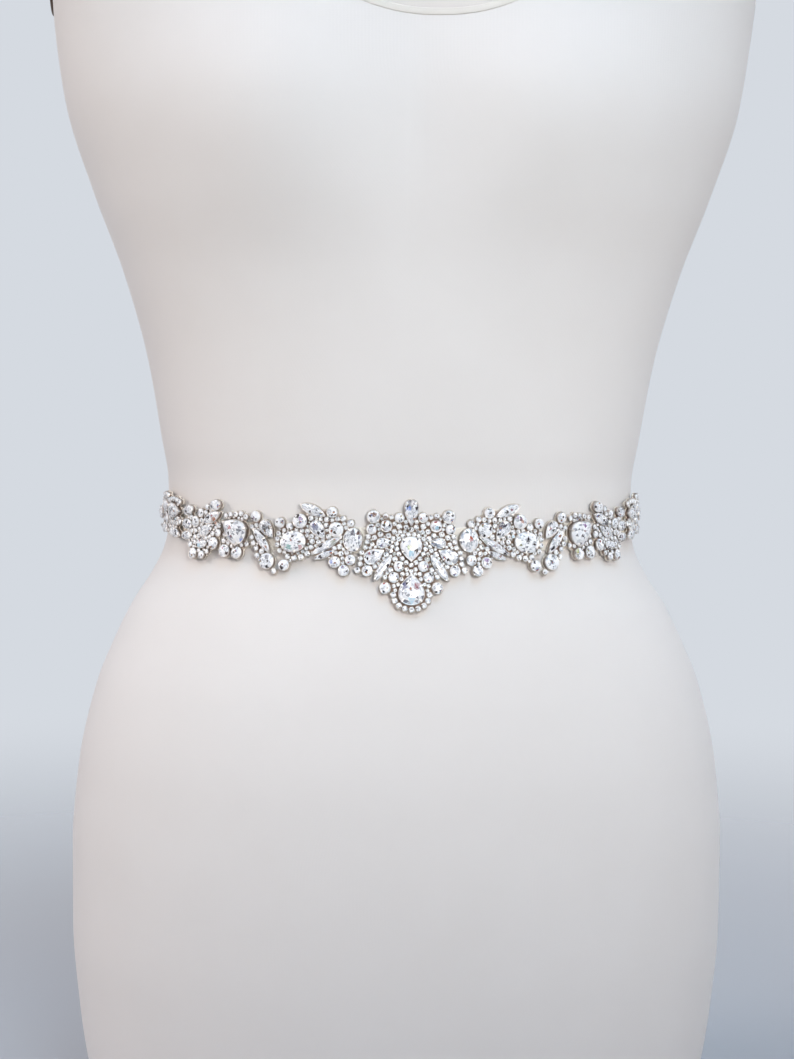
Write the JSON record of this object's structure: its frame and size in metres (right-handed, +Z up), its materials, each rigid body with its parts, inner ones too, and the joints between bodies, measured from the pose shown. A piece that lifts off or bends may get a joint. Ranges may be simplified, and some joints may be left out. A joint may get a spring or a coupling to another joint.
{
  "type": "bridal sash on dress form",
  "caption": "Narrow satin waist sash with a pointed crystal medallion and crystal sprays, tied at the back of a limbless dress form.",
  "frame": {"origin": "centre of the dress form's flat underside", "axes": "+Z up along the form's axis; the front of the form faces -Y; +X is to the right as seen from the front"},
  "size_m": [0.3414, 0.2492, 0.7593],
  "materials": {
    "jersey": "matt ivory cotton jersey cover",
    "board": "dark stained board with a soft sheen",
    "satin": "ivory satin ribbon",
    "crystal": "foil-backed clear crystals in silver claw settings"
  },
  "bodies": {
    "root": {"dress_form": "jersey", "arm_board_left": "board", "arm_board_right": "board", "neck_board": "board", "ribbon_front": "satin", "ribbon_left": "satin", "ribbon_right": "satin", "ribbon_knot": "satin", "ribbon_tail_left": "satin", "ribbon_tail_right": "satin", "applique_centre": "crystal", "spray_1_left": "crystal", "spray_2_left": "crystal", "spray_3_left": "crystal", "spray_4_left": "crystal", "spray_5_left": "crystal", "spray_1_right": "crystal", "spray_2_right": "crystal", "spray_3_right": "crystal", "spray_4_right": "crystal", "spray_5_right": "crystal"}
  },
  "joints": []
}
